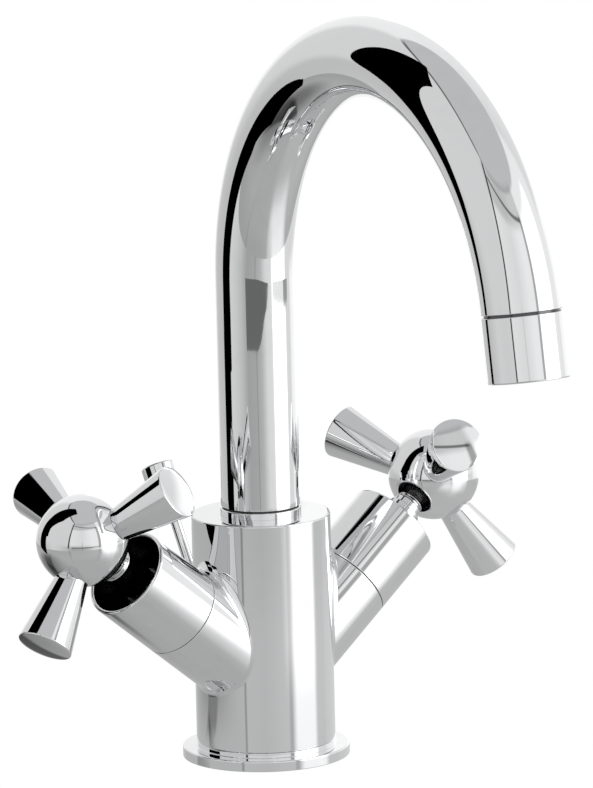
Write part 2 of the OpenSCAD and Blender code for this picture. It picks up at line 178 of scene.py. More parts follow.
def make_piece(name, points, quads, material, row_material=None):
    """Writes points and four-cornered faces into a mesh. A face with a repeated corner, as
    at a pole, is written as a triangle."""
    if signed_volume(points, quads) < 0:
        quads = quads[:, ::-1]
    faces = [[v for k, v in enumerate(q) if v != q[k - 1]] for q in quads.tolist()]
    mesh = bpy.data.meshes.new(name)
    mesh.from_pydata((points * MM).tolist(), [], faces)
    mesh.polygons.foreach_set("use_smooth", np.ones(len(faces), bool))
    for m in material if isinstance(material, (list, tuple)) else [material]:
        mesh.materials.append(m)
    if row_material is not None:
        mesh.polygons.foreach_set("material_index", np.asarray(row_material, np.int32))
    mesh.update()
    mesh.set_sharp_from_angle(angle=math.radians(SMOOTH_BELOW))
    piece = bpy.data.objects.new(name, mesh)
    bpy.context.scene.collection.objects.link(piece)
    return piece


def grid_quads(rows, columns, closed_rows):
    """Faces between neighbouring rows, round all columns, and from the last row back to the
    first if the profile is a closed loop."""
    r = np.arange(rows if closed_rows else rows - 1)[:, None]
    c = np.arange(columns)[None, :]
    below = r * columns
    above = ((r + 1) % rows) * columns
    ahead = (c + 1) % columns
    quads = np.stack([below + c, below + ahead, above + ahead, above + c], -1)
    return quads.reshape(-1, 4)


def join_poles(points, quads, columns):
    """Merges the first row into one point and the last row into another."""
    last = len(points) - columns
    quads = np.where(quads < columns, 0, quads)
    quads = np.where(quads >= last, last, quads)
    used, quads = np.unique(quads, return_inverse=True)
    return points[used], quads.reshape(-1, 4)


def lathe(name, profile, place, material, columns=144, dark_rows=None):
    """Point (row i, column j) is (r_i cos a_j, r_i sin a_j, z_i). A profile that starts and
    ends on the axis closes in two poles, and any other closes into a ring. The faces that
    start from a dark row take the second material."""
    r = profile[:, 0][:, None]
    z = profile[:, 1][:, None]
    a = np.linspace(0, 2 * math.pi, columns, endpoint=False)[None, :]
    points = np.stack([r * np.cos(a), r * np.sin(a), z + 0 * a], -1).reshape(-1, 3)
    has_poles = profile[0, 0] < 1e-6 and profile[-1, 0] < 1e-6
    quads = grid_quads(len(profile), columns, not has_poles)
    rows = None
    if dark_rows is not None:
        rows = np.isin(np.arange(len(quads)) // columns, dark_rows).astype(int)
    if has_poles:
        points, quads = join_poles(points, quads, columns)
    return make_piece(name, place(points), quads, material, rows)


def finish_piece(piece, body, nodes):
    """Puts a piece on its body and hides the CAD nodes it stands for."""
    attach(piece, body)
    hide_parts(*nodes)
    print(piece.name, len(piece.data.polygons), "faces, rides on", body)
    return piece


# %% [markdown]
# ## Shader sums
# Materials are written as sums. A Wire is one socket of a node tree, and adding, scaling or
# comparing wires adds the Math nodes. Every other node comes from one method.

# %% The Wire and Paint classes
WHITE = (1.0, 1.0, 1.0, 1.0)


class Wire:
    """One output socket, on which Python's operators build Math nodes."""

    def __init__(self, paint, socket):
        self.paint = paint
        self.socket = socket

    def sum_node(self, operation, *values):
        return self.paint.node("ShaderNodeMath", {"operation": operation}, dict(enumerate(values)))

    def __add__(self, other):
        return self.sum_node("ADD", self, other)

    __radd__ = __add__

    def __sub__(self, other):
        return self.sum_node("SUBTRACT", self, other)

    def __rsub__(self, other):
        return self.sum_node("SUBTRACT", other, self)

    def __mul__(self, other):
        return self.sum_node("MULTIPLY", self, other)

    __rmul__ = __mul__

    def __truediv__(self, other):
        return self.sum_node("DIVIDE", self, other)

    def __abs__(self):
        return self.sum_node("ABSOLUTE", self)

    def at_most(self, limit):
        return self.sum_node("MINIMUM", self, limit)

    def rise(self, low, high):
        """0 below low, 1 above high, and a smooth slope between."""
        return self.paint.node(
            "ShaderNodeMapRange",
            {"interpolation_type": "SMOOTHSTEP"},
            {"Value": self, "From Min": low, "From Max": high},
        )

    def band(self, low, high, soft):
        """1 between low and high, with edges that are 2 * soft wide."""
        return self.rise(low - soft, low + soft) * (1 - self.rise(high - soft, high + soft))


class Paint:
    """A node tree under construction."""

    def __init__(self, tree):
        self.tree = tree
        self.tree.nodes.clear()

    def node(self, kind, settings=None, inputs=None, out=0):
        """Adds a node, then its settings, then the values or links of its sockets."""
        made = self.tree.nodes.new(kind)
        for key, value in (settings or {}).items():
            if key == "stops":
                self.set_stops(made.color_ramp, value)
            else:
                setattr(made, key, value)
        for key, value in (inputs or {}).items():
            if isinstance(value, Wire):
                self.tree.links.new(value.socket, made.inputs[key])
            else:
                made.inputs[key].default_value = value
        return Wire(self, made.outputs[out]) if made.outputs else None

    def set_stops(self, ramp, stops):
        """Stops are (position, grey) or (position, colour)."""
        while len(ramp.elements) < len(stops):
            ramp.elements.new(1.0)
        for element, (position, tone) in zip(ramp.elements, stops):
            element.position = position
            element.color = (tone,) * 3 + (1,) if isinstance(tone, float) else tuple(tone) + (1,)

    def mix(self, share, one, two):
        """one where share is 0, two where it is 1. Both may be colours."""
        return self.node(
            "ShaderNodeMix", {"data_type": "RGBA"}, {0: share, 6: one, 7: two}, out=2
        )

    def place(self):
        """The point's own place on the piece, in metres."""
        return self.node("ShaderNodeTexCoord", out=3)

    def noise(self, place, scale, detail):
        inputs = {"Vector": place, "Scale": scale, "Detail": detail}
        return self.node("ShaderNodeTexNoise", None, inputs)

    def along(self, wire, vector):
        """How far a wire's vector reaches along a fixed one."""
        settings = {"operation": "DOT_PRODUCT"}
        return self.node("ShaderNodeVectorMath", settings, {0: wire, 1: tuple(vector)}, out=1)

    def emission(self, strength):
        return self.node("ShaderNodeEmission", None, {"Color": WHITE, "Strength": strength})

    def for_camera(self, real, plain):
        """The plain shader for the camera's own rays, and the real one for all others."""
        seen = self.node("ShaderNodeLightPath", out=0)
        return self.node("ShaderNodeMixShader", None, {0: seen, 1: real, 2: plain})

    def end(self, kind, shader):
        self.node("ShaderNodeOutput" + kind, None, {"Surface": shader})


def new_paint(name):
    """A new material, and the Paint that builds its nodes."""
    material = bpy.data.materials.new(name)
    material.use_nodes = True
    return material, Paint(material.node_tree)


# %% [markdown]
# ## Bright chrome
# Chrome plate reflects about four fifths of the light, with a trace of blue. On a new tap it
# is almost a perfect mirror. What keeps it from looking computed is very slight: the polished
# brass under it waves by a few microns, and fine wiping marks dull it in places. The waves
# are a weak large noise into a Bump node, and the marks a small change of roughness.

# %% Chrome


WAVE_DEPTH = 0.00006  # metres


def plated(name, tone, rough, mark_depth=0.02):
    """Metal of one tone, with wiping marks in its roughness and a faint wave in its surface."""
    material, p = new_paint(name)
    place = p.place()
    marks = p.noise(place, 240.0, 4.0)
    cloud = p.noise(place, 32.0, 2.0)
    wave = p.noise(place, 55.0, 1.0)
    bump = p.node("ShaderNodeBump", None, {"Strength": 0.35, "Distance": WAVE_DEPTH, "Height": wave})
    dull = tuple(0.965 * c for c in tone) + (1.0,)
    colour = p.mix(marks.rise(0.35, 0.75) * cloud.rise(0.4, 0.7), tone + (1.0,), dull)
    shader = p.node(
        "ShaderNodeBsdfPrincipled",
        None,
        {
            "Base Color": colour,
            "Metallic": 1.0,
            "Roughness": rough + marks.rise(0.3, 0.8) * cloud.rise(0.35, 0.75) * mark_depth,
            "Normal": bump,
        },
    )
    p.end("Material", shader)
    return material


chrome = plated("bright_chrome", (0.80, 0.805, 0.812), 0.018)
# Near-black chrome: painted shade for the shroud insides, their seam faces and the aerator's groove.
painted_shade_chrome = plated("painted_shade_inside", (0.10, 0.10, 0.105), 0.16, mark_depth=0.06)
print("materials so far:", [m.name for m in bpy.data.materials])

# %% [markdown]
# ## The upright body
# The body is one turned column with a flat top and a deep bore for the spout. Holes come in
# its side: two pockets for the valves and one for the stop screw at the back. They are cut
# with Boolean modifiers, as a drill would. A cut leaves many-cornered faces, so afterwards
# every corner that still lies on the round wall is given the wall's exact normal again.

# %% Drilling and exact normals


def drill(piece, cutters):
    """Cuts closed pieces out of a piece, bakes the result into its mesh, removes the tools."""
    for cutter in cutters:
        cut = piece.modifiers.new("hole", "BOOLEAN")
        cut.operation = "DIFFERENCE"
        cut.solver = "EXACT"
        cut.object = cutter
    bpy.context.view_layer.update()
    shape = piece.evaluated_get(bpy.context.evaluated_depsgraph_get())
    cut_mesh = bpy.data.meshes.new_from_object(shape)
    piece.modifiers.clear()
    piece.data = cut_mesh
    for cutter in cutters:
        bpy.data.objects.remove(cutter)
    piece.data.set_sharp_from_angle(angle=math.radians(SMOOTH_BELOW))
    return piece


ON_SURFACE = 0.01  # a point this near to a surface, in millimetres, lies on it


def exact_normals(piece, normal_at, within=20.0):
    """Gives each face corner the normal that normal_at finds for its point, where the face
    itself looks the same way within some degrees. Other corners keep their own normals."""
    mesh = piece.data
    corner_vertex = np.zeros(len(mesh.loops), np.int32)
    mesh.loops.foreach_get("vertex_index", corner_vertex)
    co = np.zeros(3 * len(mesh.vertices), np.float32)
    mesh.vertices.foreach_get("co", co)
    points = co.reshape(-1, 3)[corner_vertex].astype(float) / MM
    face_normal = np.zeros(3 * len(mesh.polygons), np.float32)
    mesh.polygons.foreach_get("normal", face_normal)
    loop_total = np.zeros(len(mesh.polygons), np.int32)
    mesh.polygons.foreach_get("loop_total", loop_total)
    face_normal = np.repeat(face_normal.reshape(-1, 3), loop_total, axis=0)
    normals = np.zeros(3 * len(mesh.loops), np.float32)
    mesh.corner_normals.foreach_get("vector", normals)
    normals = normals.reshape(-1, 3).astype(float)
    wanted, on_surface = normal_at(points)
    agrees = (wanted * face_normal).sum(1) > math.cos(math.radians(within))
    chosen = on_surface & agrees
    normals[chosen] = wanted[chosen]
    mesh.normals_split_custom_set(normals.tolist())
    return int(chosen.sum())


def wall_normal(place, radius):
    """Normal of a round wall about a placed axis, for the points that lie on it."""

    def at(points):
        local = (points - place.origin) @ place.basis.T
        away = local[:, :2]
        r = np.linalg.norm(away, axis=1)
        unit = away / np.maximum(r, 1e-9)[:, None]
        return unit @ place.basis[:2], np.abs(r - radius) < ON_SURFACE

    return at


def bar(name, place, r, z0, z1, columns=96):
    """A plain closed cylinder, used only as a drill."""
    profile = np.array([[0, z0], [r, z0], [r, z1], [0, z1]], float)
    return lathe(name, profile, place, chrome, columns)


# %% [markdown]
# The column's profile goes from its foot, inside the flange, up the wall, over the top and
# down the stepped bore: a wide seat for the spout's bush, then the socket for its foot. The
# long wall gets a few extra rows, because a cut through one very long face shades badly.

# %% The upright
BODY_R = float(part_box("mixer_body")[1][1]) / MM
BODY_TOP = float(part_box("mixer_body")[1][2]) / MM
BASE_TOP = 5.6  # top of the flange's step
FOOT_R = 19.9
FOOT_BOTTOM = 0.8
SOCKET_R = 12.05
SOCKET_FLOOR = 58
BUSH_R = 13.6
BUSH_LENGTH = 10
POCKET_R = 10.5
POCKET_FLOOR = 24  # along the branch's axis
POCKET_END = 60
STOP_SCREW_Z = 73
STOP_SCREW_R = 2.5
STOP_SCREW_START = 11
ROD_HOLE_R = 3.4
print("body radius", round(BODY_R, 2), "top", round(BODY_TOP, 2))

wall_rows = [(BODY_R, z, 0) for z in np.linspace(BASE_TOP + 6, BODY_TOP - 6, 9)]
upright_profile = rounded(
    [(0, FOOT_BOTTOM, 0), (FOOT_R, FOOT_BOTTOM, 0.3), (FOOT_R, BASE_TOP, 0),
     (BODY_R, BASE_TOP, 0.3)]
    + wall_rows
    + [(BODY_R, BODY_TOP, 0.55), (BUSH_R, BODY_TOP, 0), (BUSH_R, BODY_TOP - BUSH_LENGTH, 0),
       (SOCKET_R, BODY_TOP - BUSH_LENGTH, 0), (SOCKET_R, SOCKET_FLOOR, 0), (0, SOCKET_FLOOR, 0)]
)
body_piece = lathe("body_upright", upright_profile, upright, chrome, columns=192)
back_hole = placed((0, 0, STOP_SCREW_Z), (0, 1, 0), UPWARD)
body_drills = [bar("pocket", branch[side], POCKET_R, POCKET_FLOOR, POCKET_END) for side in (HOT, COLD)]
body_drills.append(bar("screw_hole", back_hole, STOP_SCREW_R, STOP_SCREW_START, 40))
body_drills.append(bar("rod_hole", rod, ROD_HOLE_R, -10, 60))
drill(body_piece, body_drills)
print("corners set on the wall:", exact_normals(body_piece, wall_normal(upright, BODY_R)))
finish_piece(body_piece, "body", ["mixer_body"])

# %% [markdown]
# ## The branches
# Each branch leaves the column at 38 degrees. A casting never meets a column in a sharp
# line: the pattern maker runs a ball along the joint and fills what it can't reach. The same
# rule gives the surface exactly. For each direction round the branch, the ball's centre is
# where it touches both cylinders, and the fillet is the arc on the ball between the two
# points of contact. Past the fillet the row runs straight out to the seam, then round the
# seam's edge and down into the valve pocket.

# %% A branch with a rolling-ball fillet
BRANCH_R = 16.3
SEAM_W = 47.85  # where the branch ends and its shroud begins
FILLET_R = 3.0
SEAL_SEAT_R = 12.3
SEAL_SEAT_DEPTH = 1.4
SKIRT_START = 8.0  # a point on the branch's axis, well inside the column


def branch_skirt(name, side, columns=192, arc_steps=14):
    """Row t of column a is C(a) + f slerp(u, v, t), where C is the ball's centre, f its
    radius, u points to the column's axis and v to the branch's axis."""
    place = branch[side]
    a = np.linspace(0, 2 * math.pi, columns, endpoint=False)
    ring = np.stack([np.cos(a), np.sin(a), 0 * a], 1)
    out = ring @ place.basis
    along = place.basis[2]
    start = place.origin + (BRANCH_R + FILLET_R) * out
    # The centre is BODY_R + f from the column's axis: a quadratic in the distance along.
    qa = along[0] ** 2 + along[1] ** 2
    qb = 2 * (start[:, 0] * along[0] + start[:, 1] * along[1])
    qc = start[:, 0] ** 2 + start[:, 1] ** 2 - (BODY_R + FILLET_R) ** 2
    w = (-qb + np.sqrt(qb**2 - 4 * qa * qc)) / (2 * qa)
    centre = start + w[:, None] * along
    to_column = -centre * np.array([1, 1, 0])
    to_column /= np.linalg.norm(to_column, axis=1)[:, None]
    to_branch = -out
    angle = np.arccos(np.clip((to_column * to_branch).sum(1), -1, 1))
    steps = np.linspace(0, 1, arc_steps + 1)[1:-1]
    t = np.concatenate([[0, 0.01], steps, [0.99, 1]])[:, None, None]
    g = angle[None, :, None]
    fillet = centre + FILLET_R * (
        np.sin((1 - t) * g) * to_column + np.sin(t * g) * to_branch
    ) / np.sin(g)
    seal_floor = SEAM_W - SEAL_SEAT_DEPTH
    edge = rounded(
        [(BRANCH_R, 40, 0), (BRANCH_R, SEAM_W, 0.3), (SEAL_SEAT_R, SEAM_W, 0),
         (SEAL_SEAT_R, seal_floor, 0), (POCKET_R, seal_floor, 0), (POCKET_R, POCKET_FLOOR, 0),
         (2, POCKET_FLOOR, 0)]
    )[1:]
    tail = edge[:, 0][:, None, None] * ring + edge[:, 1][:, None, None] * UPWARD
    inner = np.repeat(place([[0, 0, SKIRT_START]])[None], columns, 1)
    end = np.repeat(place([[0, 0, POCKET_FLOOR]])[None], columns, 1)
    rows = np.concatenate([inner, fillet, place(tail), end])
    quads = grid_quads(len(rows), columns, False)
    points, quads = join_poles(rows.reshape(-1, 3), quads, columns)
    print(name, "reaches from", w.min().round(2), "to", SEAM_W, "along its axis")
    return make_piece(name, points, quads, chrome)


for side in (HOT, COLD):
    finish_piece(branch_skirt(SIDE_NAME[side] + "_branch", side), "body", ["mixer_body"])

# %% [markdown]
# ## Base flange and collar
# The flange is a turned disc with a raised step. The fine dark line between step and body is
# a real joint, two small radii facing each other, so it is made by shape and not painted.

# %% Flange and collar
FLANGE_R = float(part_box("base_flange")[1][0]) / MM
FLANGE_TOP = 3.8
FLANGE_BORE_R = 20
STEP_TOP = BASE_TOP - 0.05
GASKET_IN_R = 22.5
GASKET_OUT_R = 27.5
GASKET_TOP = 1.5
flange_profile = rounded(
    [(24, GASKET_TOP, 0), (GASKET_IN_R, GASKET_TOP, 0), (GASKET_IN_R, 0, 0),
     (FLANGE_BORE_R, 0, 0.2), (FLANGE_BORE_R, STEP_TOP, 0.2), (BODY_R, STEP_TOP, 0.4),
     (BODY_R, FLANGE_TOP, 0.25), (FLANGE_R, FLANGE_TOP, 0.55), (FLANGE_R, 0, 0.25),
     (GASKET_OUT_R, 0, 0), (GASKET_OUT_R, GASKET_TOP, 0), (24, GASKET_TOP, 0)]
)[:-1]
finish_piece(lathe("flange", flange_profile, upright, chrome, 192), "body", ["base_flange"])

COLLAR_R = 14.3
COLLAR_BORE_R = 12.3
COLLAR_TOP = BODY_TOP + 2.4
COLLAR_FOOT = BODY_TOP + 0.02  # clear of the body's top, so that the two never share a face
collar_profile = rounded(
    [(13, BODY_TOP, 0), (COLLAR_BORE_R, BODY_TOP, 0), (COLLAR_BORE_R, COLLAR_TOP, 0.2),
     (COLLAR_R, COLLAR_TOP, 0.5), (COLLAR_R, COLLAR_FOOT, 0), (13, COLLAR_FOOT, 0)]
)[:-1]
finish_piece(lathe("collar", collar_profile, upright, chrome), "body", ["spout_collar"])

# %% [markdown]
# ## The swan neck
# The spout is one drawn tube bent over a former. Its surface is a circle carried along a
# line that first rises straight and then follows an arc. The circle is set square to the
# line at each station. The inner wall is made too, because the tube's end can be seen into.

# %% Spout tube
TUBE_R = 14.0
TUBE_BORE_R = 12.5
TUBE_BOTTOM = 89.9
SPRING_Z = 171.5
ARCH_R = 89.0
ARCH_SWEEP = 170.5  # degrees
TUBE_LIP = 0.25


def swan_neck(name, columns=144, riser_rows=10, arch_rows=150):
    """Each station has a centre c, a way out n in the arch's plane, and the same sideways
    way s. The tube's point at angle a is c + r (cos a n + sin a s)."""
    riser = np.concatenate([[TUBE_BOTTOM], np.linspace(TUBE_BOTTOM + 1, SPRING_Z, riser_rows)])
    turn = np.radians(np.linspace(0, ARCH_SWEEP, arch_rows + 1))[1:]
    away = np.concatenate([0 * riser, ARCH_R * (1 - np.cos(turn))])
    height = np.concatenate([riser, SPRING_Z + ARCH_R * np.sin(turn)])
    bend = np.concatenate([0 * riser, turn])
    centre = away[:, None] * reach_way + height[:, None] * UPWARD
    normal = -np.cos(bend)[:, None] * reach_way + np.sin(bend)[:, None] * UPWARD
    a = np.linspace(0, 2 * math.pi, columns, endpoint=False)[None, :, None]
    ring = np.cos(a) * normal[:, None] + np.sin(a) * spout_side
    outer = centre[:, None] + TUBE_R * ring
    inner = (centre[:, None] + TUBE_BORE_R * ring)[::-1]
    end_way = np.cross(normal[-1], spout_side)
    end_way *= np.sign(end_way @ outlet_down)
    # Both ends are chamfered: the outer row draws back, and a narrower row closes the end.
    foot = centre[:1] + (TUBE_R - TUBE_LIP) * ring[0]
    tip = centre[-1:] + (TUBE_R - TUBE_LIP) * ring[-1]
    outer[0] += TUBE_LIP * UPWARD
    outer[-1] -= TUBE_LIP * end_way
    rows = np.concatenate([foot[None], outer, tip[None], inner])
    quads = grid_quads(len(rows), columns, True)
    return make_piece(name, rows.reshape(-1, 3), quads, chrome)


neck = swan_neck("swan_neck")
finish_piece(neck, "spout", ["spout_tube"])

# %% [markdown]
# ## The aerator
# The aerator's shell screws into the end of the tube. Its upper edge leaves a shallow groove
# under the tube, and the mouth is turned back a little round the plastic insert.

# %% Aerator shell
AERATOR_R = 14.1
GROOVE_BED_R = AERATOR_R - 1
GROOVE_H = 0.9
NECK_BORE_R = 8.5
NECK_THREAD_R = 11
NECK_LENGTH = 7
CARTRIDGE_R = 11.5
MOUTH_R = 12.3
MOUTH_STEP = AERATOR_LEN - 2
aerator_profile = rounded(
    [(10, NECK_LENGTH, 0), (NECK_BORE_R, NECK_LENGTH, 0), (NECK_BORE_R, -NECK_LENGTH, 0),
     (NECK_THREAD_R, -NECK_LENGTH, 0.3), (NECK_THREAD_R, 0, 0), (GROOVE_BED_R, 0, 0),
     (GROOVE_BED_R, GROOVE_H, 0), (AERATOR_R, GROOVE_H, 0.3), (AERATOR_R, AERATOR_LEN, 0.6),
     (MOUTH_R, AERATOR_LEN, 0.3), (MOUTH_R, MOUTH_STEP, 0), (CARTRIDGE_R, MOUTH_STEP, 0),
     (CARTRIDGE_R, NECK_LENGTH, 0), (10, NECK_LENGTH, 0)]
)[:-1]
# The groove's rows take the near-black chrome: painted shade in the groove.
groove_rows = [
    i for i, (r, z) in enumerate(aerator_profile) if z < GROOVE_H + 0.05 and r < AERATOR_R - 0.3
]
shell = lathe("aerator_shell", aerator_profile, outlet, [chrome, painted_shade_chrome], 144, groove_rows)
finish_piece(shell, "spout", ["aerator_housing"])

# %% [markdown]
# ## Shrouds
# A shroud is a plain tube that hides the brass valve. Its mouth has a thin rounded rim. The
# inside is plated but not polished, so it is rougher, and hardly any light reaches it, so its
# rows get a second, near-black chrome: painted shade. So does the narrow face at the seam,
# where the painted shade reads as a fine dark line.

# %% Shrouds
SHROUD_FOOT = SEAM_W + 0.22
SHROUD_TOP = SEAM_W + 29
SHROUD_BORE = BRANCH_R - 1.5
SHROUD_SEAT_R = 12.03
SHROUD_SEAT_TOP = 55.5
shroud_profile = rounded(
    [(13, SHROUD_FOOT, 0), (BRANCH_R, SHROUD_FOOT, 0.3), (BRANCH_R, SHROUD_TOP, 0.7),
     (SHROUD_BORE, SHROUD_TOP, 0.7), (SHROUD_BORE, SHROUD_SEAT_TOP, 0.3),
     (SHROUD_SEAT_R, SHROUD_SEAT_TOP, 0), (SHROUD_SEAT_R, SHROUD_FOOT, 0), (13, SHROUD_FOOT, 0)]
)[:-1]
# The bore and the seam face take the near-black chrome: painted shade.
inside_rows = [
    i for i, (r, w) in enumerate(shroud_profile)
    if r < SHROUD_BORE + 0.02 or (w < SHROUD_FOOT + 1 and r < BRANCH_R - 0.2)
]
for side in (HOT, COLD):
    name = SIDE_NAME[side] + "_shroud"
    shroud = lathe(
        name + "_skin", shroud_profile, branch[side], [chrome, painted_shade_chrome], 160, inside_rows
    )
    finish_piece(shroud, "body", [name])

# %% [markdown]
# ## Ball handles
# Each handle is a turned ball with a neck, drilled for three screwed-in spokes and for the
# small screw that locks it to the valve. The ball is a lathe profile with a true arc. The
# holes are real, so each spoke stands in a narrow dark gap as it does on the object.

# %% Handle hubs
BALL_R = 16.2
NECK_R = 6.25
GROOVE_R = 5.2
GROOVE_W = BALL_W - 17.65
HUB_BOTTOM = 70.2
HUB_BORE_R = 4.25
HUB_BORE_TOP = 92.2
SPOKE_W = BALL_W - 2.0  # the spokes' plane along the branch's axis
SPOKE_SEAT = 14.6  # how far from that axis a cone starts
SPOKE_HOLE_R = 6.02
SPOKE_HOLE_FLOOR = SPOKE_SEAT - 0.9
FIRST_SPOKE = {HOT: 70.0, COLD: 114.0}  # degrees round the branch's axis
LOCK_TURN = 60
LOCK_W = 88.5
SPOKE_ROOT_R = 5.8
SPOKE_TIP_R = 9.8
SPOKE_REACH = 41.7


def across(side, degrees, w):
    """An axis that leaves the branch's axis squarely at height w, in that direction."""
    place = branch[side]
    a = math.radians(degrees)
    way = math.cos(a) * place.basis[0] + math.sin(a) * place.basis[1]
    return placed(place([0, 0, w]), way, place.basis[2])


foot_angle = -math.degrees(math.acos(GROOVE_R / BALL_R))
hub_profile = np.vstack([
    rounded([(0, HUB_BORE_TOP, 0), (HUB_BORE_R, HUB_BORE_TOP, 0), (HUB_BORE_R, HUB_BOTTOM, 0),
             (NECK_R, HUB_BOTTOM, 0.3), (NECK_R, GROOVE_W, 0.35), (GROOVE_R, GROOVE_W + 0.2, 0)]),
    arc_points((0, BALL_W), BALL_R, foot_angle, 90, 72),
])
hub_profile[-1, 0] = 0.0


def ball_normal(centre):
    """Normal of the ball, for the points that lie on its surface."""

    def at(points):
        away = points - centre
        r = np.linalg.norm(away, axis=1)
        return away / r[:, None], np.abs(r - BALL_R) < ON_SURFACE

    return at


for side in (HOT, COLD):
    name = SIDE_NAME[side]
    hub = lathe(name + "_hub", hub_profile, branch[side], chrome, 144)
    turns = [FIRST_SPOKE[side] + 120 * i for i in range(3)]
    tools = [
        bar("seat", across(side, turn, SPOKE_W), SPOKE_HOLE_R, SPOKE_HOLE_FLOOR, 20)
        for turn in turns
    ]
    tools.append(bar("lock_hole", across(side, LOCK_TURN, LOCK_W), 2.5, 4, 20, 48))
    drill(hub, tools)
    corners_set = exact_normals(hub, ball_normal(branch[side]([0, 0, BALL_W])))
    print(name, "ball corners set:", corners_set)
    finish_piece(hub, name + "_handle", [name + "_handle_hub"])

# %% [markdown]
# ## Spokes
# A spoke is a cone with a crowned end. The crown is less than a millimetre high, but a flat
# end would mirror one single tone, and the real ends mirror a good part of the room.

# %% Spokes
CROWN = 0.8
SHANK_R = 3
SHANK_START = 9
SPOKE_RIM = 0.7  # width of the rounded rim round the crown
crown_radius = (SPOKE_TIP_R**2 + CROWN**2) / (2 * CROWN)
crown_half = math.degrees(math.asin((SPOKE_TIP_R - SPOKE_RIM) / crown_radius))
spoke_edge = rounded(
    [(0, SHANK_START, 0), (SHANK_R, SHANK_START, 0), (SHANK_R, SPOKE_SEAT - 0.8, 0),
     (SPOKE_ROOT_R - 0.12, SPOKE_SEAT - 0.8, 0.1), (SPOKE_ROOT_R, SPOKE_SEAT, 0),
     (SPOKE_TIP_R, SPOKE_REACH - CROWN, 0.45),
     (SPOKE_TIP_R - SPOKE_RIM, SPOKE_REACH - CROWN + 0.05, 0)]
)
spoke_profile = np.vstack([
    spoke_edge[:-1],
    arc_points((0, SPOKE_REACH - crown_radius), crown_radius, 90 - crown_half, 90, 10),
])
spoke_profile[-1, 0] = 0.0
for side in (HOT, COLD):
    for i in range(3):
        name = f"{SIDE_NAME[side]}_spoke_{i + 1}"
        place = across(side, FIRST_SPOKE[side] + 120 * i, SPOKE_W)
        spoke = lathe(name + "_cone", spoke_profile, place, chrome, 112)
        finish_piece(spoke, SIDE_NAME[side] + "_handle", [name])

# %% [markdown]
# ## Lift rod
# The rod that opens the waste is a bright bar with a turned knob. The knob's two edges are
# rounded, so that it is kind to fingers. It is bored from below and sits over the rod's end.

# %% Rod and knob
ROD_R = 2
ROD_END_R = 1.6
ROD_BOTTOM = -50
ROD_SHOULDER = -30
KNOB_R = 6.2
KNOB_BOTTOM = 91
KNOB_TOP = 107
KNOB_BORE_TOP = 103
ROD_TOP = KNOB_BORE_TOP - 1
rod_profile = rounded(
    [(0, ROD_BOTTOM, 0), (ROD_END_R, ROD_BOTTOM, 0.3), (ROD_END_R, ROD_SHOULDER, 0),
     (ROD_R, ROD_SHOULDER, 0.1), (ROD_R, ROD_TOP, 0.3), (0, ROD_TOP, 0)]
)
finish_piece(lathe("pull_rod", rod_profile, rod, chrome, 64), "lift", ["lift_rod"])
knob_profile = rounded(
    [(0, KNOB_BORE_TOP, 0), (ROD_R, KNOB_BORE_TOP, 0), (ROD_R, KNOB_BOTTOM, 0.2),
     (KNOB_R, KNOB_BOTTOM, 0.6), (KNOB_R, KNOB_TOP, 0.7), (0, KNOB_TOP, 0)]
)
finish_piece(lathe("pull_knob", knob_profile, rod, chrome, 112), "lift", ["lift_knob"])

# %% [markdown]
# ## Finishes of the parts inside and below
# These parts keep their CAD meshes and get a better finish. Turned brass shows fine rings
# about its axis, zinc-plated steel is dull and slightly mottled, rubber is matt with a faint
# bloom, acetal is a milky white, and lapped alumina is a dense ivory with a soft shine.

# %% Turned metal


def turned(name, tone, dark, place, rough, ring_scale=2600.0):
    """Rings about a part's own axis: a wave of the distance along it. A Mapping node turns
    the pattern so that its Z runs along the part."""
    material, p = new_paint(name)
    z = place.basis[2]
    tilt = math.atan2(math.hypot(z[0], z[1]), z[2])
    heading = math.atan2(z[1], z[0])
    spun = p.node("ShaderNodeMapping", {"vector_type": "TEXTURE"}, {
        "Vector": p.place(), "Location": tuple(place.origin * MM),
        "Rotation": (0.0, tilt, heading)})
    height = p.node("ShaderNodeSeparateXYZ", None, {"Vector": spun}, out=2)
    rings = p.node("ShaderNodeMath", {"operation": "SINE"}, {0: height * ring_scale})
    grain = p.noise(spun, 500.0, 5.0)
    stain = p.noise(spun, 70.0, 3.0)
    tint = p.mix(stain.rise(0.35, 0.7) * 0.6 + grain * 0.2, tone + (1.0,), dark + (1.0,))
    relief = rings * 0.5 + grain * 0.6
    bump = p.node("ShaderNodeBump", None, {"Strength": 0.4, "Distance": 0.00003, "Height": relief})
    shader = p.node("ShaderNodeBsdfPrincipled", None, {
        "Base Color": tint, "Metallic": 1.0, "Roughness": rough + grain * 0.18, "Normal": bump})
    p.end("Material", shader)
    return material


# %% [markdown]
# Rubber, acetal and alumina all come out of a mould or a press, so one recipe does for the
# three: a fine grain, and a slow change of tone over the part. Only the numbers differ.

# %% Rubber, plastic and ceramic


def moulded(name, tone, dark, rough, grain_scale, depth):
    """A mould's or press's fine grain, with a slow change of tone over the part."""
    material, p = new_paint(name)
    where = p.place()
    grain = p.noise(where, grain_scale, 6.0)
    slow = p.noise(where, 60.0, 2.0)
    tint = p.mix(slow.rise(0.35, 0.7) * 0.7 + grain * 0.3, tone + (1.0,), dark + (1.0,))
    bump = p.node("ShaderNodeBump", None, {"Strength": 0.5, "Distance": depth, "Height": grain})
    shader = p.node("ShaderNodeBsdfPrincipled", None, {
        "Base Color": tint, "Roughness": rough + grain * 0.12, "Normal": bump})
    p.end("Material", shader)
    return material


rubber = moulded("black_rubber", (0.022, 0.022, 0.023), (0.045, 0.045, 0.046), 0.62, 900.0, 0.00002)
acetal = moulded("white_acetal", (0.82, 0.82, 0.79), (0.74, 0.74, 0.70), 0.34, 700.0, 0.00001)
alumina = moulded("lapped_alumina", (0.86, 0.83, 0.74), (0.78, 0.74, 0.64), 0.16, 1200.0, 0.000004)
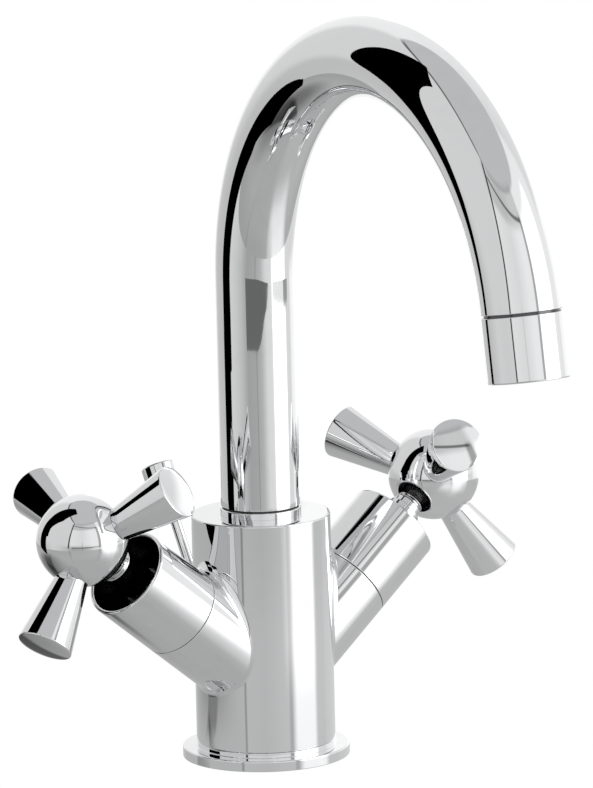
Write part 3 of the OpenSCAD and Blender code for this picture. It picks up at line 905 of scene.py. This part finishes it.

# %% [markdown]
# A node's name starts with the axis that it was turned about, so the rings can follow it. The
# record gives its metal. The valve tops stand in the open mouths of the shrouds, where little
# light reaches them, so they get a near-black tone in place of yellow brass: painted shade.

# %% Give every CAD node its finish
METAL_LOOK = {
    "brass": ((0.72, 0.52, 0.24), (0.50, 0.33, 0.13), 0.24),
    "steel": ((0.58, 0.59, 0.60), (0.42, 0.43, 0.45), 0.30),
    # near-black valve tone: painted shade deep in the shroud mouths
    "painted_shade_brass": ((0.15, 0.148, 0.142), (0.09, 0.088, 0.084), 0.26),
}
VALVE_PARTS = ("headwork", "spindle", "circlip", "handle_screw")
AXIS_OF = {"hot": branch[HOT], "cold": branch[COLD], "rod": rod, "outlet": outlet, "aerator": outlet}
metal_made = {}


def metal_for(node, slot):
    """One turned finish for each slot, metal and axis."""
    first_word = node.split("_")[0]
    axis_name = first_word if first_word in AXIS_OF else "upright"
    # The valve parts take the near-black tone, which is painted shade.
    metal = "painted_shade_brass" if node.endswith(VALVE_PARTS) else slot
    key = (slot, metal, axis_name)
    if key not in metal_made:
        tone, dark, rough = METAL_LOOK[metal]
        place = AXIS_OF.get(axis_name, upright)
        metal_made[key] = turned(f"turned_{metal}_{axis_name}", tone, dark, place, rough)
    return metal_made[key]


PLAIN = {"black_rubber": rubber, "white_plastic": acetal, "ceramic": alumina, "chrome": chrome}
for part in record["subparts"]:
    node_object = frame["nodes"][part["node"]]
    slot_name = part["material_slot"]
    finish = PLAIN.get(slot_name) or metal_for(part["node"], slot_name)
    node_object.data.materials.clear()
    node_object.data.materials.append(finish)
print("turned finishes:", sorted(m.name for m in metal_made.values()))

# %% [markdown]
# ## Camera
# A product shot of a tap is taken from far away with a long lens, so that uprights stay
# upright and both handles show nearly the same size. The camera stands to the hot side and
# a little above, and it looks slightly down. Its axes come from two angles and a small roll.

# %% Camera
VIEW_TURN = math.radians(38.51)
VIEW_RISE = math.radians(11.39)
VIEW_ROLL = math.radians(1.365)
CAMERA_FAR = 3.5  # metres
AIM_RIGHT = 0.013585  # where the camera aims, from the origin, in metres
AIM_UP = 0.12661
right = np.array([math.cos(VIEW_TURN), -math.sin(VIEW_TURN), 0.0])
back = np.array([
    -math.sin(VIEW_TURN) * math.cos(VIEW_RISE),
    -math.cos(VIEW_TURN) * math.cos(VIEW_RISE),
    math.sin(VIEW_RISE),
])
up = np.cross(back, right)
level_back = np.array([-math.sin(VIEW_TURN), -math.cos(VIEW_TURN), 0.0])
cam_x = right * math.cos(VIEW_ROLL) - up * math.sin(VIEW_ROLL)
cam_y = right * math.sin(VIEW_ROLL) + up * math.cos(VIEW_ROLL)
camera_data = bpy.data.cameras.new("camera")
camera_data.lens = 452.0
camera_data.sensor_width = 36.0
camera_data.clip_start = 0.1
camera_data.clip_end = 60.0
camera = bpy.data.objects.new("camera", camera_data)
bpy.context.scene.collection.objects.link(camera)
spot = CAMERA_FAR * back + AIM_RIGHT * right + AIM_UP * up
camera.matrix_world = Matrix([
    (cam_x[0], cam_y[0], back[0], spot[0]),
    (cam_x[1], cam_y[1], back[1], spot[1]),
    (cam_x[2], cam_y[2], back[2], spot[2]),
    (0, 0, 0, 1),
])
bpy.context.scene.camera = camera
bpy.context.scene.view_settings.view_transform = "Standard"
print("camera at", spot.round(3))

# %% [markdown]
# ## Studio
# Chrome shows the room and nothing else, so the room is designed. It is a white light tent
# on a pale table. Plain walls alone would leave the tap flat and grey, so a bright lamp
# stands in front to the right, with a dim post beside it, a dim lintel runs over the front,
# and a curved rim parts the walls from the ceiling. All this is far away, so it is painted
# on the world by direction. The camera itself sees plain white behind the tap.

# %% Tent walls
DEGREES = 180 / math.pi
CEILING = (0.60, 0.60, 0.605, 1.0)


def paint_tent(world):
    """Light from each direction: azimuth counts from the camera's side, positive to its
    right, and height is the angle above the horizon, both in degrees."""
    world.use_nodes = True
    p = Paint(world.node_tree)
    way = p.node("ShaderNodeTexCoord", out=0)
    rightwards = p.along(way, right)
    upwards = p.along(way, UPWARD)
    azimuth = rightwards.sum_node("ARCTAN2", rightwards, p.along(way, level_back)) * DEGREES
    height = upwards.sum_node("ARCSINE", upwards) * DEGREES

    def walls(stops):
        """One tone for each azimuth, from stops of (azimuth, grey)."""
        shares = [((turn + 180) / 360, grey) for turn, grey in stops]
        return p.node("ShaderNodeValToRGB", {"stops": shares}, {"Fac": (azimuth + 180) / 360})

    def patch(sides, side_edge, levels, level_edge):
        """1 within these azimuths and heights, and 0 outside, with soft edges."""
        return azimuth.band(*sides, side_edge) * height.band(*levels, level_edge)

    def line(distance, core, edge):
        """1 where a wire is within core of 0, and 0 where it is further away than edge."""
        return 1 - abs(distance).rise(core, edge)

    low = walls([
        (-180, 1.0), (-163, 1.0), (-145, 0.66), (-112, 0.60), (-76, 0.76), (-58, 0.70),
        (-42, 0.60), (-25, 0.43), (0, 0.46), (14, 0.54), (30, 0.82), (48, 0.88), (53, 1.0),
        (82, 1.0), (96, 0.86), (126, 0.80), (156, 0.90), (180, 1.0),
    ])
    high = walls([
        (-180, 1.0), (-160, 1.0), (-150, 0.78), (-38, 0.76), (-28, 0.90), (0, 0.84), (26, 1.0),
        (46, 1.0), (50, 1.0), (86, 1.0), (90, 1.0), (112, 1.0), (120, 0.84), (180, 1.0),
    ])
    wall = p.mix(height.rise(-9, 2), low, high)
    bend = (azimuth + 90) / 52
    over_rim = height - (66 - 9 * (bend * bend).at_most(1.8))
    dark_shapes = {
        "lintel": 0.30 * patch((-34, 47), 4, (37, 52), 3),
        "lintel_edge": 0.7 * line(height + azimuth * 0.114 - 44, 0.4, 1.5) * azimuth.band(-27, 45, 2),
        "post": 0.55 * patch((41, 47), 1.5, (-8, 40), 3),
        "corner": 0.95 * line(azimuth - height * 0.1 + 34, 0.9, 2.6) * height.band(-8, 53, 2),
        "seam": 0.25 * patch((-1.2, 1.2), 0.6, (-40, 6), 3),
        "rim": 0.8 * line(over_rim, 0.6, 2.2) * azimuth.band(-155, -30, 8),
    }
    strength = 1.0
    for dark in dark_shapes.values():
        strength = (1 - dark) * strength
    lamp = 1.9 * patch((51, 94), 5, (-26, 36), 6)
    rear = 0.4 * patch((118, 178), 6, (-14, 16), 4)
    tone = p.mix(over_rim.rise(-1, 1.5), wall, CEILING)
    lit = p.node("ShaderNodeBackground", None, {"Color": tone, "Strength": strength + lamp + rear})
    plain = p.node("ShaderNodeBackground", None, {"Color": WHITE, "Strength": 1.0})
    p.end("World", p.for_camera(lit, plain))


tent = bpy.data.worlds.new("tent")
bpy.context.scene.world = tent
paint_tent(tent)

# %% [markdown]
# ## Table
# The table is near, so it is a real disc, and each handle mirrors its own part of it. The
# camera sees it plain white. The chrome sees it glow a mid grey with a sheen, and the glow
# carries painted light and shade: a painted pool of light towards the lamp, a painted shadow
# at the foot of the black card and another in a wedge to the left, and it darkens to the rim.

# %% Table
TABLE_R = 440.0
TABLE_TOP = -0.2  # just under the flange
TABLE_THICKNESS = 6.0
CARD_FOOT = (-0.135, 0.130, 0.0)  # metres
LAMP_WAY = (0.414, -0.910, 0.0)


def table_material():
    """A glossy white table: plain white to the eye, and in the chrome a glowing mid grey with a
    sheen, a painted shadow at the foot of the black card, which keeps the light off it, and a painted
    pool of lamp light."""
    material, p = new_paint("table_top")
    where = p.place()
    foot = p.node("ShaderNodeVectorMath", {"operation": "DISTANCE"}, {0: where, 1: CARD_FOOT}, out=1)
    middle = p.node("ShaderNodeVectorMath", {"operation": "LENGTH"}, {0: where}, out=1)
    # Painted light and shade in the glow: a painted shadow round the card's foot, and darker towards
    # the rim.
    pale = (0.17 + 0.30 * foot.rise(0.04, 0.17)) * (1 - 0.18 * middle.rise(0.20, 0.42))
    # A painted pool of lamp light on the side towards the lamp, and a little more to the right.
    lamp_side = (p.along(where, LAMP_WAY) / middle).rise(0.82, 0.97)
    pale = pale + 0.42 * lamp_side * middle.rise(0.10, 0.24)
    pale = pale + 0.07 * (p.along(where, right) / middle).rise(0.2, 0.9)
    # A painted shadow in a wedge that runs out to the left of the tap.
    outwards = p.along(where, -right)
    slant = p.along(where, level_back) / outwards
    wedge = slant.band(-0.17, 0.21, 0.05) * outwards.rise(0.045, 0.085)
    pale = pale * (1 - 0.78 * wedge * (1 - outwards.rise(0.20, 0.32)))
    sheen = p.node("ShaderNodeBsdfGlossy", None, {"Color": (0.95, 0.95, 0.95, 1), "Roughness": 0.10})
    fresnel = p.node("ShaderNodeFresnel", None, {"IOR": 1.45})
    real = p.node("ShaderNodeMixShader", None, {0: fresnel, 1: p.emission(pale), 2: sheen})
    p.end("Material", p.for_camera(real, p.emission(1.0)))
    return material


table_profile = np.array([
    [0, TABLE_TOP - TABLE_THICKNESS], [TABLE_R, TABLE_TOP - TABLE_THICKNESS],
    [TABLE_R, TABLE_TOP], [0, TABLE_TOP],
])
table = lathe("table", table_profile, upright, table_material(), 96)

# %% [markdown]
# ## Black card and grey flags
# Chrome gets its edges from boards that only the metal sees. A black card
# stands beside the tap, to the left and behind. Its stripe is the dark edge of the riser and
# of the arch. Three grey flags stand further off, bent round the tap: one in front and two to
# the right. All of them are near enough for their mirror images to differ between one handle
# and the other, so they are real objects.

# %% Boards
FLAG_DISTANCE = 850


def paper(name, tone):
    """A surface that mirrors as one even tone."""
    material, p = new_paint(name)
    p.end("Material", p.emission(tone))
    return material


def board(name, rings, tone):
    """A thin board given as a row of four-cornered rings. Each ring is joined to the next,
    and the first and last are closed. It is seen only in mirror images."""
    rings = np.asarray(rings, float)
    count = len(rings)
    corner = np.arange(4)[None, :]
    ring = np.arange(count - 1)[:, None] * 4
    ahead = (corner + 1) % 4
    sides = np.stack([ring + corner, ring + ahead, ring + 4 + ahead, ring + 4 + corner], -1)
    ends = [[3, 2, 1, 0], [4 * count - 4, 4 * count - 3, 4 * count - 2, 4 * count - 1]]
    quads = np.vstack([sides.reshape(-1, 4), ends])
    piece = make_piece(name, rings.reshape(-1, 3), quads, paper(name + "_paper", tone))
    piece.visible_camera = False
    return piece


def card_rings(start, end, stops, thick=2.0):
    """Upright card along the line from start to end. Stops are (height, near edge, far edge),
    with the edges as shares of that line."""
    start = np.array(start, float)
    line = np.array(end, float) - start
    aside = thick * np.array([-line[1], line[0]]) / np.linalg.norm(line)
    rings = []
    for height, near, far in stops:
        flat = [start + near * line, start + far * line]
        flat += [flat[1] + aside, flat[0] + aside]
        rings.append([(x, y, height) for x, y in flat])
    return rings


def flag_rings(stops, top, thick=3, columns=32):
    """Board bent round the tap at one distance. Stops are (azimuth, lower height), and the
    lower edge runs straight from each to the next."""
    azimuths, lows = np.array(stops, float).T
    rings = []
    for azimuth in np.linspace(azimuths[0], azimuths[-1], columns + 1):
        low = np.interp(azimuth, azimuths, lows)
        a = math.radians(azimuth)
        way = math.sin(a) * right + math.cos(a) * level_back
        corners = [(0, low), (0, top), (thick, top), (thick, low)]
        rings.append([(FLAG_DISTANCE + far) * way + height * UPWARD for far, height in corners])
    return rings


CARD_START = (-174.3, 32)
CARD_END = (-152.7, 190.2)
CARD_STOPS = [
    (40, 0.36, 1.14), (104, 0.36, 1.12), (106, 0.28, 1.1), (140, 0.28, 1.04), (200, 0.0, 0.94),
    (533, -0.3, 1.14), (1100, 1.15, 1.3),
]
board("black_card", card_rings(CARD_START, CARD_END, CARD_STOPS), 0.0)
FRONT_STOPS = [(-28, -17), (4, -17), (8, -15), (16, -10), (24, -5), (29, 0), (38, 5)]
board("front_flag", flag_rings(FRONT_STOPS, 18), 0.16)
board("side_flag", flag_rings([(51, 2), (88, 0)], 15), 0.95)
board("far_flag", flag_rings([(88, 0), (104, 2)], 15), 0.38)
